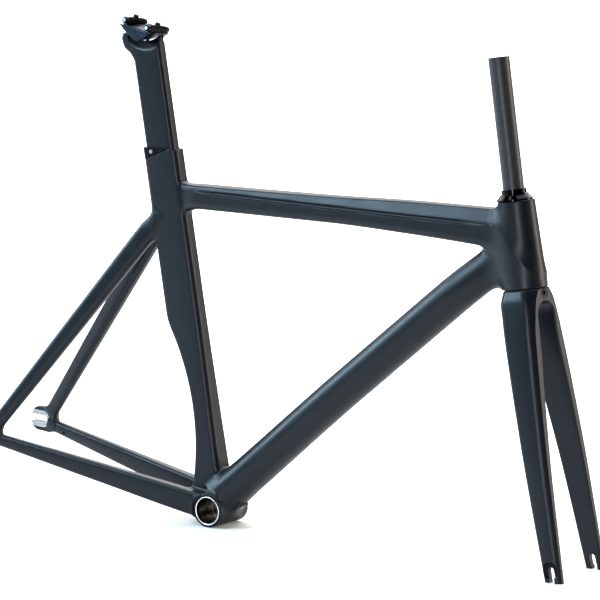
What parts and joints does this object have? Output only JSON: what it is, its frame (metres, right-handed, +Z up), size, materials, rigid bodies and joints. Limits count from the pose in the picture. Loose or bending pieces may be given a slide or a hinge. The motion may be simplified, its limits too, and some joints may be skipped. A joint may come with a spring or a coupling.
{
  "type": "bicycle frame",
  "caption": "Track bicycle frameset of painted carbon: aero frame with rear track ends, turning fork in a tapered headset, sliding aero seatpost and tilting saddle clamp.",
  "frame": {"origin": "centre of the bottom bracket shell, on its axis", "axes": "+X forward, +Y to the rider's left, +Z up; the frameset stands on the bottom bracket lug and both fork ends"},
  "size_m": [0.9934, 0.147, 0.7154],
  "materials": {
    "painted_carbon": "matte blue-black paint on carbon composite",
    "raw_carbon": "bare carbon with a ground surface",
    "painted_alloy": "matte blue-black paint",
    "black_alloy": "black anodised",
    "gloss_black_alloy": "polished black anodised",
    "polished_alloy": "machined bright",
    "bright_steel": "brushed stainless steel",
    "black_plastic": "satin moulded plastic"
  },
  "bodies": {
    "frame": {"bottom_bracket_lug": "painted_carbon", "bottom_bracket_sleeve": "polished_alloy", "head_tube": "painted_carbon", "seat_tube": "painted_carbon", "seat_clamp_pins": "bright_steel", "seat_clamp_screws": "bright_steel", "seat_clamp_yoke": "black_alloy", "top_tube": "painted_carbon", "down_tube": "painted_carbon", "track_end_right": "painted_carbon", "track_end_plate_right": "bright_steel", "track_end_left": "painted_carbon", "track_end_plate_left": "bright_steel", "chainstay_right": "painted_carbon", "chainstay_left": "painted_carbon", "seatstay_right": "painted_carbon", "seatstay_left": "painted_carbon", "cable_guide_screw": "bright_steel", "cable_guide": "black_plastic", "lower_bearing_outer_race": "bright_steel", "upper_bearing_outer_race": "bright_steel"},
    "fork": {"lower_bearing_inner_race": "bright_steel", "upper_bearing_inner_race": "bright_steel", "crown_race": "black_alloy", "compression_ring": "black_alloy", "lower_bearing_balls": "bright_steel", "upper_bearing_balls": "bright_steel", "headset_top_cover": "gloss_black_alloy", "steerer_tube": "raw_carbon", "fork_crown": "painted_carbon", "brake_bush": "black_alloy", "fork_leg_right": "painted_carbon", "fork_end_plate_right": "black_alloy", "fork_leg_left": "painted_carbon", "fork_end_plate_left": "black_alloy"},
    "seatpost": {"seatpost": "painted_carbon"},
    "saddle_clamp": {"clamp_bolts": "black_alloy", "rail_yoke_front": "black_alloy", "rail_yoke_rear": "black_alloy", "yoke_caps": "polished_alloy", "yoke_nuts": "black_alloy", "saddle_cradle": "painted_alloy"}
  },
  "joints": [
    {"name": "steering", "type": "hinge", "parent": "frame", "child": "fork", "pos_m": [0.4993, 0, 0.3581], "axis": [-0.1478, 0, 0.989], "continuous": true},
    {"name": "seatpost_height", "type": "slide", "parent": "frame", "child": "seatpost", "axis": [-0.1719, 0, 0.9851], "range_m": [-0.07, 0.07]},
    {"name": "saddle_tilt", "type": "hinge", "parent": "seatpost", "child": "saddle_clamp", "pos_m": [-0.133, 0, 0.687], "axis": [0, 1, 0], "range_deg": [-12, 12]}
  ]
}
